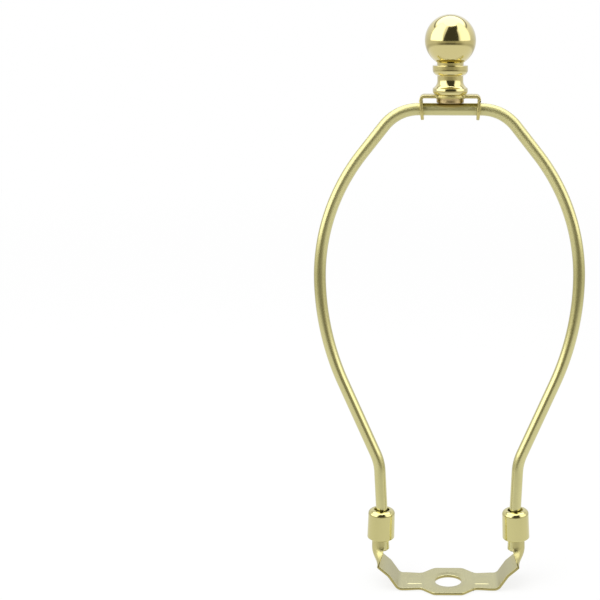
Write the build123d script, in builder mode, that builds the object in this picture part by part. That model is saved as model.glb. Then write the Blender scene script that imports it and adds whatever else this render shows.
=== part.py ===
from build123d import *
import os
from math import atan2, cos, degrees, isclose, radians, sin, sqrt, tan

os.makedirs("parts", exist_ok=True)

# Detachable lamp harp: a bent wire loop, a stamped saddle, two locking ferrules,
# a swivelling top bracket with its threaded stud, and a turned ball finial.
# Millimetres. The origin is the centre of the saddle's hole, on the low rim that sits on the lamp.
# +Z runs up to the finial, +X to the viewer's right, and the loop lies in the XZ plane.

# Overall sizes
harp_height = 203.2  # saddle's low rim to the top of the bracket's plate
loop_width = 103.0  # wire centre to wire centre where the loop is widest
widest_height = 130.5  # height of that widest place
wire_diameter = 4.76

# Loop: a straight run slopes out below each shoulder, and another slopes in down to each leg
top_straight = 24.4  # straight stretch that the bracket turns on
shoulder_setback = 8.2  # from the end of the top straight to the shoulder's corner
upper_corner_share = 0.4166  # where the upper run reaches the full width, widest place to top
lower_corner_share = 0.293  # where the lower run leaves it, widest place to the legs' bends
leg_bend_height = 53.4  # corner between the lower run and the leg
leg_bend_radius = 22.0
leg_lean = 2.2  # from the vertical; the legs open upwards
leg_spacing = 55.2  # leg centre to leg centre at the ferrules' tops
leg_end_height = 15.0
leg_end_chamfer = 0.6

# Ferrule that slides down over each leg and socket
ferrule_top_height = 32.9
ferrule_length = 12.3
ferrule_top_diameter = 10.95
ferrule_rim_diameter = 11.25
ferrule_shoulder_radius = 1.8
ferrule_wall = 0.9
ferrule_top_wall = 1.0
ferrule_inner_radius = 0.9
ferrule_wire_gap = 0.8  # between the wire and the hole in the top wall
ferrule_rim_chamfer = 0.3

# Saddle, pressed from one strip
saddle_sheet = 1.1
strip_width = 14.4  # beside the pad
arm_width = 15.8  # the strip widens to this before it turns up
pad_width = 24.8  # front to back
pad_taper = 5.2  # along the saddle, where the strip widens to the pad
pad_corner_radius = 3.0
strip_run = 6.4  # narrow flat between the pad and the arm's first bend
saddle_hole_diameter = 11.1
dish_diameter = 16.0
dish_depth = 0.3
bead_start = 11.0  # stiffening bead along each flat
bead_margin = 0.6  # flat left between the bead and the arm
bead_width = 7.4
bead_height = 0.2
bead_wall_angle = 45.0
arm_setback = 7.0  # first bend, where the arm turns up, inside the leg's centre line
arm_slope = 56.0  # from the horizontal
arm_knee_height = 6.75
arm_upper_slope = 41.0
arm_foot_radius = 3.0
arm_knee_radius = 4.0
arm_heel_radius = 9.0
socket_lean = 2.3  # sockets close in upwards
socket_gap = 0.27  # between the wire and the socket's wall
socket_seat_gap = 0.05  # the same on the outer side, where the leg springs against it
socket_wrap = 24.0  # how far the rolled edges reach past the front and the back
fold_start = 0.1  # share of the heel bend after which the flat strip curls up
fold_steps = 4

# Swivel bracket and the stud that it carries
bracket_sheet = 1.2
bracket_width = 23.8  # outer face to outer face
ear_width = 8.3
ear_lean = 2.5  # ears close in downwards
bracket_corner_radius = 1.8
plate_disc_diameter = 12.1
plate_blend_radius = 1.0
swivel_gap = 0.06  # running clearance round the wire
stud_diameter = 6.35
stud_length = 11.0  # above the plate
stud_tip_chamfer = 0.7
stud_head_diameter = 10.6
stud_head_thickness = 1.85
stud_head_flare = 0.6
stud_head_gap = 0.25  # between the stud's head and the wire
stud_fit_gap = 0.05

# Finial, turned from one bar
finial_base_diameter = 11.6
flange_diameter = 13.6
flange_height = 1.4
lip_bulge = 0.25  # how far the flange's lower lip rounds out
flange_edge_set = 0.1
cove_start = 2.5
cove_hollow = 0.4
waist_diameter = 10.0
waist_start = 5.1
waist_end = 7.2
collar_diameter = 13.6
rise_bulge = 0.35  # how far the slope up to the collar rounds out
collar_start = 9.1
collar_end = 11.1
neck_diameter = 10.3
ball_diameter = 19.6
ball_height = 20.55  # ball's centre above the finial's base
finial_bore_gap = 0.08
finial_bore_reserve = 1.5  # bore depth beyond the stud's tip
drill_angle = 31.0  # cone at the bore's end, from the horizontal

# Sizes worked out from those above
wire_radius = wire_diameter / 2
half_loop = loop_width / 2
plate_underside = harp_height - bracket_sheet
wire_height = plate_underside - stud_head_thickness - stud_head_gap - wire_radius


def leg_x(height):
    """Distance of a leg's centre line from the middle at a height."""
    return leg_spacing / 2 + (height - ferrule_top_height) * tan(radians(leg_lean))


# Harp wire: half the loop as a chain of tangent lines and arcs, swept and mirrored
top_half = top_straight / 2
shoulder_corner = top_half + shoulder_setback
upper_tangent = upper_corner_share * (wire_height - widest_height)
upper_corner_height = widest_height + upper_tangent
shoulder_angle = degrees(atan2(half_loop - shoulder_corner, wire_height - upper_corner_height))
shoulder_radius = shoulder_setback / tan(radians(90 - shoulder_angle) / 2)
upper_radius = upper_tangent / tan(radians(shoulder_angle) / 2)
upper_run_end = (
    half_loop - upper_tangent * sin(radians(shoulder_angle)),
    upper_corner_height + upper_tangent * cos(radians(shoulder_angle)),
)
leg_corner = (leg_x(leg_bend_height), leg_bend_height)
lower_tangent = lower_corner_share * (widest_height - leg_bend_height)
lower_run_height = widest_height - lower_tangent - leg_bend_height
lower_angle = degrees(atan2(half_loop - leg_corner[0], lower_run_height))
lower_radius = lower_tangent / tan(radians(lower_angle) / 2)
leg_turn = lower_angle - leg_lean
leg_tangent = leg_bend_radius * tan(radians(leg_turn) / 2)
lower_run_end = (
    leg_corner[0] + leg_tangent * sin(radians(lower_angle)),
    leg_corner[1] + leg_tangent * cos(radians(lower_angle)),
)

with BuildPart() as harp_wire:
    with BuildLine(Plane.XZ) as half_path:
        top = Line((0, wire_height), (top_half, wire_height))
        shoulder = JernArc(top @ 1, top % 1, shoulder_radius, shoulder_angle - 90)
        upper_run = Line(shoulder @ 1, upper_run_end)
        upper_bow = JernArc(upper_run @ 1, upper_run % 1, upper_radius, -shoulder_angle)
        lower_bow = JernArc(upper_bow @ 1, upper_bow % 1, lower_radius, -lower_angle)
        lower_run = Line(lower_bow @ 1, lower_run_end)
        leg_bend = JernArc(lower_run @ 1, lower_run % 1, leg_bend_radius, leg_turn)
        leg = Line(leg_bend @ 1, (leg_x(leg_end_height), leg_end_height))
    with BuildSketch(Plane.YZ):
        with Locations((0, wire_height)):
            Circle(wire_radius)
    sweep(path=half_path.wires()[0])
    leg_rim = harp_wire.edges().filter_by(GeomType.CIRCLE).sort_by(Axis.Z)[0]
    chamfer(leg_rim, leg_end_chamfer)
    mirror(about=Plane.YZ)

harp_wire.part.label = "harp_wire"

# Saddle: lines of the right arm in the XZ plane, at the middle of the sheet
saddle_underside = dish_depth
sheet_middle = saddle_underside + saddle_sheet / 2
socket_inner_radius = wire_radius + socket_gap
socket_outer_radius = socket_inner_radius + saddle_sheet
socket_middle_radius = socket_inner_radius + saddle_sheet / 2
socket_shift = socket_seat_gap - socket_gap  # puts the leg against the socket's outer side
socket_slope = tan(radians(socket_lean))


def socket_wall_x(height):
    """Middle of the sheet on the outer side of the right socket at a height."""
    wall = leg_spacing / 2 + (socket_shift + socket_middle_radius) / cos(radians(socket_lean))
    return wall + (ferrule_top_height - height) * socket_slope


# The socket's top edge is flush with the underside of the ferrule's top wall
socket_top_height = ferrule_top_height - ferrule_top_wall * cos(radians(socket_lean))
socket_top_height += (socket_shift + socket_middle_radius) * sin(radians(socket_lean))

arm_start = leg_spacing / 2 - arm_setback
flat_end = arm_start - arm_foot_radius
knee_x = arm_start + (arm_knee_height - sheet_middle) / tan(radians(arm_slope))
upper_slope = tan(radians(arm_upper_slope))
heel_rise = (socket_wall_x(arm_knee_height) - knee_x) / (1 + socket_slope * upper_slope) * upper_slope
heel = (knee_x + heel_rise / upper_slope, arm_knee_height + heel_rise)

with BuildLine(Plane.XZ) as arm_line:
    FilletPolyline(
        (flat_end, sheet_middle),
        (arm_start, sheet_middle),
        (knee_x, arm_knee_height),
        heel,
        (socket_wall_x(socket_top_height), socket_top_height),
        radius=[arm_foot_radius, arm_knee_radius, arm_heel_radius],
    )
arm_edges = arm_line.wires()[0].order_edges()
heel_bend, socket_line = arm_edges[5:]
strip_path = Wire([*arm_edges[:5], heel_bend.trim(0, fold_start)])
socket_half_turn = 90 + socket_wrap
rolled_width = 2 * radians(socket_half_turn) * socket_middle_radius


def across(path, place):
    """Plane square to a path, with its x along the saddle's width and its y to the inside."""
    return Plane(origin=path @ place, x_dir=(0, 1, 0), z_dir=path % place)


def sheet_section(width, half_turn):
    """Section of the strip, flat or curled up by an angle on each side of its middle line."""
    half_sheet = saddle_sheet / 2
    with BuildSketch() as section:
        with BuildLine():
            if half_turn == 0:
                right, left = (width / 2, half_sheet), (-width / 2, half_sheet)
                Polyline((width / 2, -half_sheet), right, left, (-width / 2, -half_sheet), close=True)
            else:
                radius = width / 2 / radians(half_turn)
                outer = CenterArc((0, radius), radius + half_sheet, -90 - half_turn, 2 * half_turn)
                inner = CenterArc((0, radius), radius - half_sheet, -90 + half_turn, -2 * half_turn)
                Line(outer @ 1, inner @ 0)
                Line(inner @ 1, outer @ 0)
        make_face()
    return section.sketch


fold_sections = []
for step in range(fold_steps + 1):
    share = step / fold_steps
    curl = sin(radians(90 * share))
    width = arm_width + curl * (rolled_width - arm_width)
    place = fold_start + share * (1 - fold_start)
    fold_sections.append(across(heel_bend, place) * sheet_section(width, curl * socket_half_turn))

with BuildPart() as saddle:
    # Right arm: flat strip, then the curl up to the rolled socket that opens to the other leg
    sweep(sections=across(strip_path, 0) * sheet_section(arm_width, 0), path=strip_path)
    loft(sections=fold_sections)
    extrude(fold_sections[-1], amount=socket_line.length)
    mirror(about=Plane.YZ)
    # Pad round the hole
    pad_end = flat_end - strip_run
    pad_edge_end = pad_end - pad_taper
    with BuildSketch(Plane.XY.offset(saddle_underside)) as pad:
        with BuildLine():
            Polyline(
                (0, pad_width / 2),
                (pad_edge_end, pad_width / 2),
                (pad_end, strip_width / 2),
                (flat_end, arm_width / 2),
                (flat_end, 0),
                (0, 0),
                close=True,
            )
        make_face()
        mirror(about=Plane.YZ)
        mirror(about=Plane.XZ)
        corners = pad.vertices().filter_by(lambda v: abs(v.X) in (pad_edge_end, pad_end))
        fillet(corners, pad_corner_radius)
    extrude(amount=saddle_sheet)
    # Stiffening beads, pressed up from below
    bead_end = flat_end - bead_margin
    bead_middle = (bead_start + bead_end) / 2
    for level, mode in ((saddle_underside + saddle_sheet, Mode.ADD), (saddle_underside, Mode.SUBTRACT)):
        with BuildSketch(Plane.XY.offset(level)):
            with Locations((bead_middle, 0), (-bead_middle, 0)):
                Rectangle(bead_end - bead_start, bead_width)
        extrude(amount=bead_height, taper=bead_wall_angle, mode=mode)
    # Dished rim of the hole, sloping down to the lamp
    with BuildSketch(Plane.XY):
        Circle(dish_diameter / 2)
    extrude(amount=saddle_underside + saddle_sheet, mode=Mode.SUBTRACT)
    with BuildSketch(Plane.XZ):
        Polygon(
            (saddle_hole_diameter / 2, 0),
            (dish_diameter / 2, dish_depth),
            (dish_diameter / 2, dish_depth + saddle_sheet),
            (saddle_hole_diameter / 2, saddle_sheet),
            align=None,
        )
    revolve(axis=Axis.Z)

saddle.part.label = "saddle"

# Ferrules: drawn cups, in line with the sockets, that rest on the sockets' top edges
ferrule_bore = ferrule_rim_diameter / 2 - ferrule_wall
ferrules = []
for side, name in ((-1, "ferrule_left"), (1, "ferrule_right")):
    lean = radians(socket_lean)
    ferrule_axis = Axis((side * leg_spacing / 2, 0, ferrule_top_height), (-side * sin(lean), 0, cos(lean)))
    profile_plane = Plane(
        origin=ferrule_axis.position, x_dir=(side * cos(lean), 0, sin(lean)), z_dir=(0, -side, 0)
    )
    with BuildPart() as ferrule:
        with BuildSketch(profile_plane) as ferrule_profile:
            with BuildLine():
                Polyline(
                    (wire_radius + ferrule_wire_gap, 0),
                    (ferrule_top_diameter / 2, 0),
                    (ferrule_rim_diameter / 2, -ferrule_length),
                    (ferrule_bore, -ferrule_length),
                    (ferrule_bore, -ferrule_top_wall),
                    (wire_radius + ferrule_wire_gap, -ferrule_top_wall),
                    close=True,
                )
            make_face()
            top_points = ferrule_profile.vertices().group_by(Axis.Y)[-1]
            fillet(top_points.sort_by(Axis.X)[-1], ferrule_shoulder_radius)
            inner_points = ferrule_profile.vertices().filter_by(lambda v: isclose(v.X, ferrule_bore))
            fillet(inner_points.sort_by(Axis.Y)[-1], ferrule_inner_radius)
            rim_points = ferrule_profile.vertices().group_by(Axis.Y)[0]
            chamfer(rim_points, ferrule_rim_chamfer)
        revolve(axis=ferrule_axis)
    ferrule.part.label = name
    ferrules.append(ferrule)

# Swivel bracket: a strip bent into a U, drilled for the wire, with a round seat for the shade
ear_depth = harp_height - bracket_sheet / 2 - wire_height + ear_width / 2
ear_top_x = (bracket_width - bracket_sheet) / 2
ear_end_x = ear_top_x - ear_depth * tan(radians(ear_lean))
plate_middle = harp_height - bracket_sheet / 2
ear_end_height = plate_middle - ear_depth

with BuildPart() as swivel_bracket:
    with BuildLine(Plane.XZ) as bracket_line:
        FilletPolyline(
            (-ear_end_x, ear_end_height),
            (-ear_top_x, plate_middle),
            (ear_top_x, plate_middle),
            (ear_end_x, ear_end_height),
            radius=bracket_corner_radius - bracket_sheet / 2,
        )
    bracket_path = bracket_line.wires()[0]
    with BuildSketch() as bracket_section:
        Rectangle(ear_width, bracket_sheet)
    sweep(sections=across(bracket_path, 0) * bracket_section.sketch, path=bracket_path)
    # Round ends of the ears, about the wire
    with BuildSketch(Plane.YZ):
        with Locations((0, wire_height)):
            Circle(ear_width / 2)
            Rectangle(ear_width, 2 * ear_depth, align=(Align.CENTER, Align.MIN))
    extrude(amount=bracket_width, both=True, mode=Mode.INTERSECT)
    # Seat disc
    with BuildSketch(Plane.XY.offset(plate_underside)) as plate:
        Rectangle(2 * (ear_top_x - bracket_corner_radius), ear_width)
        Circle(plate_disc_diameter / 2)
        joints = plate.vertices().filter_by(lambda v: abs(v.X) < plate_disc_diameter / 2)
        fillet(joints, plate_blend_radius)
    extrude(amount=bracket_sheet)
    # Holes for the wire and the stud
    with BuildSketch(Plane.YZ):
        with Locations((0, wire_height)):
            Circle(wire_radius + swivel_gap)
    extrude(amount=bracket_width, both=True, mode=Mode.SUBTRACT)
    with Locations((0, 0, harp_height)):
        Hole(stud_diameter / 2 + stud_fit_gap, depth=bracket_sheet)

swivel_bracket.part.label = "swivel_bracket"

# Threaded stud: its head is under the plate, its shank goes up through the plate
with BuildPart() as threaded_stud:
    with BuildSketch(Plane.XZ):
        with Locations((0, plate_underside)):
            Polygon(
                (0, -stud_head_thickness),
                (stud_head_diameter / 2, -stud_head_thickness),
                (stud_head_diameter / 2, -stud_head_flare),
                (stud_head_diameter / 2 + stud_head_flare, 0),
                (stud_diameter / 2, 0),
                (stud_diameter / 2, bracket_sheet + stud_length - stud_tip_chamfer),
                (stud_diameter / 2 - stud_tip_chamfer, bracket_sheet + stud_length),
                (0, bracket_sheet + stud_length),
                align=None,
            )
    revolve(axis=Axis.Z)

threaded_stud.part.label = "threaded_stud"

# Finial: one turned piece with a blind bore for the stud
flange_radius = flange_diameter / 2
collar_radius = collar_diameter / 2
waist_radius = waist_diameter / 2
neck_radius = neck_diameter / 2
ball_radius = ball_diameter / 2
bore_radius = stud_diameter / 2 + finial_bore_gap
bore_depth = stud_length + finial_bore_reserve
neck_end = ball_height - sqrt(ball_radius**2 - neck_radius**2)

with BuildPart() as finial:
    with BuildSketch(Plane(origin=(0, 0, harp_height), x_dir=(1, 0, 0), z_dir=(0, -1, 0))):
        with BuildLine():
            base = Line((bore_radius, 0), (finial_base_diameter / 2, 0))
            lip = SagittaArc(base @ 1, (flange_radius, flange_height), -lip_bulge)
            edge = Line(lip @ 1, (flange_radius - flange_edge_set, cove_start))
            cove = SagittaArc(edge @ 1, (waist_radius, waist_start), cove_hollow)
            waist = Line(cove @ 1, (waist_radius, waist_end))
            rise = SagittaArc(waist @ 1, (collar_radius, collar_start), -rise_bulge)
            collar = Line(rise @ 1, (collar_radius, collar_end))
            ledge = Line(collar @ 1, (neck_radius, collar_end))
            neck = Line(ledge @ 1, (neck_radius, neck_end))
            ball = ThreePointArc(neck @ 1, (ball_radius, ball_height), (0, ball_height + ball_radius))
            bore = Line((bore_radius, 0), (bore_radius, bore_depth))
            Polyline(bore @ 1, (0, bore_depth + bore_radius * tan(radians(drill_angle))), ball @ 1)
        make_face()
    revolve(axis=Axis.Z)

finial.part.label = "finial"

for piece in (harp_wire, saddle, *ferrules, swivel_bracket, threaded_stud, finial):
    export_step(piece.part, f"parts/{piece.part.label}.step")
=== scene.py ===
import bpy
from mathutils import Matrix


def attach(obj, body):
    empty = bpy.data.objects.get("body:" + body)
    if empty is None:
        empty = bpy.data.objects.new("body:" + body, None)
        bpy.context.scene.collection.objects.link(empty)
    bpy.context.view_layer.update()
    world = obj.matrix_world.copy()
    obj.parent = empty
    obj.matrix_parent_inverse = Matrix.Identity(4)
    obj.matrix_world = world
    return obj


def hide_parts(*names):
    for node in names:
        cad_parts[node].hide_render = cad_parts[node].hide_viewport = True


bl_info = {
    "name": "Lamp Harp",
    "version": (1, 0, 0),
    "blender": (4, 5, 0),
    "location": "3D View > Sidebar > Lamp Harp",
    "description": "Builds a detachable lamp harp with its saddle, ferrules, swivel top and ball finial",
    "category": "Object",
}

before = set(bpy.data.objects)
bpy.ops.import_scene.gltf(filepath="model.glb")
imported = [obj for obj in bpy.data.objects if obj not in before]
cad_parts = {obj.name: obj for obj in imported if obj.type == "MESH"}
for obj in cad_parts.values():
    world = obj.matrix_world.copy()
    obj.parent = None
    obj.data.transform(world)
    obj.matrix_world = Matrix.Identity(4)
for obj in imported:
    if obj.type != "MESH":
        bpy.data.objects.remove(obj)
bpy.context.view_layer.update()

import math

import bmesh
import bpy
from mathutils import Matrix, Vector

MM = 0.001


# Settings

def length(title, text, millimetres, high=500.0):
    """A length property in metres, from a default in millimetres."""
    return bpy.props.FloatProperty(
        name=title, description=text, default=millimetres * MM, min=0.01 * MM, max=high * MM,
        precision=5, subtype="DISTANCE", unit="LENGTH",
    )


def turn(title, text, degrees):
    """An angle property in radians, from a default in degrees."""
    return bpy.props.FloatProperty(
        name=title, description=text, default=math.radians(degrees), min=-math.pi, max=math.pi,
        subtype="ANGLE", unit="ROTATION",
    )


def colour(title, text, red, green, blue):
    """A linear colour property."""
    return bpy.props.FloatVectorProperty(
        name=title, description=text, default=(red, green, blue), min=0.0, max=1.0,
        size=3, subtype="COLOR",
    )


def share(title, text, value, high=1.0):
    """A plain factor."""
    return bpy.props.FloatProperty(
        name=title, description=text, default=value, min=0.0, max=high, subtype="FACTOR"
    )


def count(title, text, value):
    """A number of faces round a piece."""
    return bpy.props.IntProperty(name=title, description=text, default=value, min=3, max=1024)


class HARP_PG_wire(bpy.types.PropertyGroup):
    """Sizes of the bent wire."""

    diameter: length("Wire diameter", "Thickness of the wire", 4.76)
    top_height: length("Top height", "Height of the wire's straight top", 197.52)
    top_straight: length("Top straight", "Straight stretch that the bracket turns on", 24.4)
    loop_width: length("Loop width", "Widest spacing of the wire's centre line", 103.0)
    widest_height: length("Widest height", "Height of the widest place", 130.5)
    shoulder_setback: length("Shoulder setback", "Top straight's end to the shoulder's corner", 8.2)
    upper_share: share("Upper corner", "Where the upper run reaches the full width", 0.4166)
    lower_share: share("Lower corner", "Where the lower run leaves the full width", 0.293)
    leg_bend_height: length("Leg bend height", "Corner between the lower run and the leg", 53.4)
    leg_bend_radius: length("Leg bend radius", "Bend above the leg", 22.0)
    leg_lean: turn("Leg lean", "Opening of the legs, from the vertical", 2.2)
    leg_spacing: length("Leg spacing", "Leg spacing at the ferrules' tops", 55.2)
    spacing_height: length("Spacing height", "Height of the ferrules' tops", 32.9)
    leg_end: length("Leg end height", "Height of the wire's cut ends", 15.0)
    end_chamfer: length("End chamfer", "Chamfer of the cut ends", 0.6)
    sides: count("Sides", "Faces round the wire", 48)


class HARP_PG_saddle(bpy.types.PropertyGroup):
    """Sizes of the stamped saddle."""

    sheet: length("Sheet", "Thickness of the sheet", 1.1)
    strip_width: length("Strip width", "Width beside the pad", 14.4)
    arm_width: length("Arm width", "Width where the strip turns up", 15.8)
    pad_width: length("Pad width", "Front to back", 24.8)
    pad_taper: length("Pad taper", "Stretch in which the strip widens to the pad", 5.2)
    strip_run: length("Strip run", "Narrow flat between the pad and the arm", 6.4)
    pad_corner: length("Pad corner", "Radius of the pad's corners", 3.0)
    hole_diameter: length("Hole", "Diameter of the lamp's hole", 11.1)
    dish_diameter: length("Dish", "Diameter of the dished rim", 16.0)
    dish_depth: length("Dish depth", "Drop of the hole's rim", 0.3)
    bead_start: length("Bead start", "Inner end of the stiffening bead", 11.0)
    bead_margin: length("Bead margin", "Flat between the bead and the arm", 0.6)
    bead_width: length("Bead width", "Width of the stiffening bead", 7.4)
    bead_height: length("Bead height", "Height of the stiffening bead", 0.12)
    arm_setback: length("Arm setback", "First bend, inside the leg's centre line", 7.0)
    arm_slope: turn("Arm slope", "Slope of the lower arm, from the horizontal", 56.0)
    knee_height: length("Knee height", "Height of the second bend", 6.75)
    upper_slope: turn("Upper slope", "Slope of the upper arm", 41.0)
    foot_radius: length("Foot radius", "First bend's radius", 3.0)
    knee_radius: length("Knee radius", "Second bend's radius", 4.0)
    heel_radius: length("Heel radius", "Third bend's radius", 9.0)
    socket_lean: turn("Socket lean", "The sockets close in upwards", 2.3)
    socket_gap: length("Socket gap", "Between wire and socket", 0.27)
    seat_gap: length("Seat gap", "Between wire and socket on the outer side", 0.05)
    socket_wrap: turn("Socket wrap", "Reach of the rolled edges past the front and back", 24.0)
    fold_start: share("Fold start", "Share of the heel bend after which the strip curls", 0.14)
    fold_reach: length("Fold reach", "How far above the heel bend the strip still curls", 1.2)
    edge_round: length("Edge round", "Rounding of the sheet's edges", 0.16)


class HARP_PG_ferrule(bpy.types.PropertyGroup):
    """Sizes of the locking ferrules."""

    height: length("Length", "Top to rim", 12.3)
    top_diameter: length("Top diameter", "Outer diameter at the top", 10.95)
    rim_diameter: length("Rim diameter", "Outer diameter at the rim", 11.25)
    shoulder: length("Shoulder", "Radius of the rounded shoulder", 1.8)
    wall: length("Wall", "Thickness of the skirt", 0.9)
    top_wall: length("Top wall", "Thickness of the top", 1.0)
    inner_radius: length("Inner radius", "Rounding inside the top", 0.9)
    wire_gap: length("Wire gap", "Between the wire and the top's hole", 0.8)
    rim_round: length("Rim round", "Rounding of the rim's outer edge", 0.5)
    hole_round: length("Hole round", "Rounding of the top hole's upper edge", 0.08)
    edge_round: length("Edge round", "Rounding of the other edges", 0.22)
    sides: count("Sides", "Faces round the ferrule", 128)


class HARP_PG_bracket(bpy.types.PropertyGroup):
    """Sizes of the swivel bracket."""

    plate_top: length("Plate top", "Height of the plate's top", 203.2)
    sheet: length("Sheet", "Thickness of the sheet", 1.2)
    width: length("Width", "Outer face to outer face", 23.8)
    ear_width: length("Ear width", "Width of the strip", 8.3)
    ear_lean: turn("Ear lean", "The ears close in downwards", 3.6)
    corner: length("Corner", "Outer radius of the bends", 1.8)
    disc: length("Disc", "Diameter of the shade's seat", 12.1)
    blend: length("Blend", "Radius between the seat and the strip", 1.0)
    swivel_gap: length("Swivel gap", "Round the wire", 0.06)
    stud_gap: length("Stud gap", "Round the stud", 0.05)
    edge_round: length("Edge round", "Rounding of the pressed edges", 0.42)


class HARP_PG_stud(bpy.types.PropertyGroup):
    """Sizes of the threaded stud."""

    plate_underside: length("Plate underside", "Height of the bracket plate's underside", 202.0)
    plate: length("Plate", "Thickness of the bracket's plate", 1.2)
    diameter: length("Diameter", "Outer diameter of the thread", 6.35)
    reach: length("Length", "Length above the plate", 11.0)
    tip_chamfer: length("Tip chamfer", "Chamfer of the tip", 0.7)
    head_diameter: length("Head diameter", "Diameter of the head", 10.6)
    head_thickness: length("Head thickness", "Thickness of the head", 1.85)
    head_flare: length("Head flare", "Flare of the head under the plate", 0.6)
    pitch: length("Pitch", "Rise of one turn of the thread", 0.941)
    thread_depth: length("Thread depth", "Depth of the thread", 0.5)
    sides: count("Sides", "Faces round the stud", 96)


class HARP_PG_finial(bpy.types.PropertyGroup):
    """Sizes of the turned ball finial, its heights above its base."""

    seat_height: length("Seat height", "Height of the bracket plate's top", 203.2)
    base_diameter: length("Base diameter", "Diameter of the base", 11.6)
    flange_diameter: length("Flange diameter", "Diameter of the flange", 13.6)
    flange_height: length("Flange height", "Height at which the lip ends", 1.4)
    lip_bulge: length("Lip bulge", "Rounding of the flange's lower lip", 0.25)
    edge_set: length("Edge set", "Taper of the flange's edge", 0.1)
    cove_start: length("Cove start", "Height at which the cove starts", 2.5)
    cove_hollow: length("Cove hollow", "Hollow of the cove", 0.4)
    waist_diameter: length("Waist", "Diameter of the waist", 10.0)
    waist_start: length("Waist start", "Height at which the waist starts", 5.1)
    waist_end: length("Waist end", "Height at which the waist ends", 7.2)
    collar_diameter: length("Collar", "Diameter of the collar", 13.6)
    rise_bulge: length("Rise bulge", "Rounding of the slope up to the collar", 0.35)
    collar_start: length("Collar start", "Height at which the collar starts", 9.1)
    collar_end: length("Collar end", "Height at which the collar ends", 11.1)
    neck_diameter: length("Neck", "Diameter of the neck", 10.3)
    ball_diameter: length("Ball", "Diameter of the ball", 19.6)
    ball_height: length("Ball height", "Height of the ball's centre", 20.55)
    bore_diameter: length("Bore", "Diameter of the bore", 6.51)
    bore_depth: length("Bore depth", "Depth of the bore's straight part", 12.5)
    drill_angle: turn("Drill angle", "Cone at the bore's end, from the horizontal", 31.0)
    edge_round: length("Edge round", "Rounding of the turned edges", 0.14)
    sides: count("Sides", "Faces round the finial", 160)


class HARP_PG_finish(bpy.types.PropertyGroup):
    """Colours and polish of the brass."""

    wire: colour("Wire", "Plated wire", 0.62, 0.58, 0.27)
    saddle: colour("Saddle", "Plated sheet", 0.535, 0.51, 0.30)
    ferrule: colour("Ferrule", "Drawn ferrules", 0.60, 0.55, 0.24)
    bracket: colour("Bracket", "Pressed bracket", 0.66, 0.59, 0.27)
    stud: colour("Stud", "Stud's bare head", 0.56, 0.44, 0.22)
    finial: colour("Finial", "Turned and buffed finial", 0.64, 0.56, 0.24)
    # Saddle edges: the sheared edges' bare, yellower tone, darkened as painted shade for the shadow along the
    # edges
    edge: colour("Saddle edges", "Sheared edges of the saddle", 0.44, 0.385, 0.15)
    bracket_edge: colour("Bracket edges", "Sheared edges of the bracket", 0.62, 0.54, 0.22)
    # Sockets: a painted reflection, the warmer golden tone that the saddle takes upwards over its rolled
    # sockets
    socket: colour("Sockets", "Rolled sockets of the saddle", 0.58, 0.53, 0.24)
    shade: colour("Shade", "Deeper tone in the brass", 0.38, 0.33, 0.10)


class HARP_PG_stage(bpy.types.PropertyGroup):
    """Camera and studio."""

    camera_distance: length("Camera distance", "Camera in front of the loop", 533.5, high=5000)
    camera_height: length("Camera height", "Camera above the saddle", 246.1, high=5000)
    camera_pitch: turn("Camera pitch", "Camera looks down by", 13.11)
    camera_roll: turn("Camera roll", "Camera leans by", 0.24)
    camera_lens: bpy.props.FloatProperty(
        name="Lens", description="Focal length", default=82.386, min=10, max=300, subtype="DISTANCE_CAMERA"
    )
    frame_shift: bpy.props.FloatProperty(
        name="Shift", description="Sideways shift of the frame", default=-0.24895, min=-1, max=1
    )
    floor_half: length("Floor", "Half the floor's width", 3000, high=10000)
    floor_colour: colour("Floor colour", "Pale floor", 0.92, 0.92, 0.92)
    room_light: share("Room light", "Strength of the soft light from all round", 0.75, high=5.0)
    lamp_power: bpy.props.FloatProperty(
        name="Lamp", description="Power of the lamp above, in watts", default=13.0, min=0, max=1000,
        subtype="POWER",
    )
    left_box: share("Left box", "Brightness of the soft box on the left", 2.4, high=10.0)
    right_box: share("Right box", "Brightness of the soft box on the right", 2.0, high=10.0)
    top_box: share("Top box", "Brightness of the soft box above", 2.6, high=10.0)
    front_card: share("Front card", "Brightness of the dark side of the room", 0.065)
    low_card: share("Low card", "Brightness of the low front", 0.08)
    dark_tint: colour("Dark tint", "Tint of the room's dark parts in reflections", 1.0, 0.95, 0.76)


# Shader tools

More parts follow.
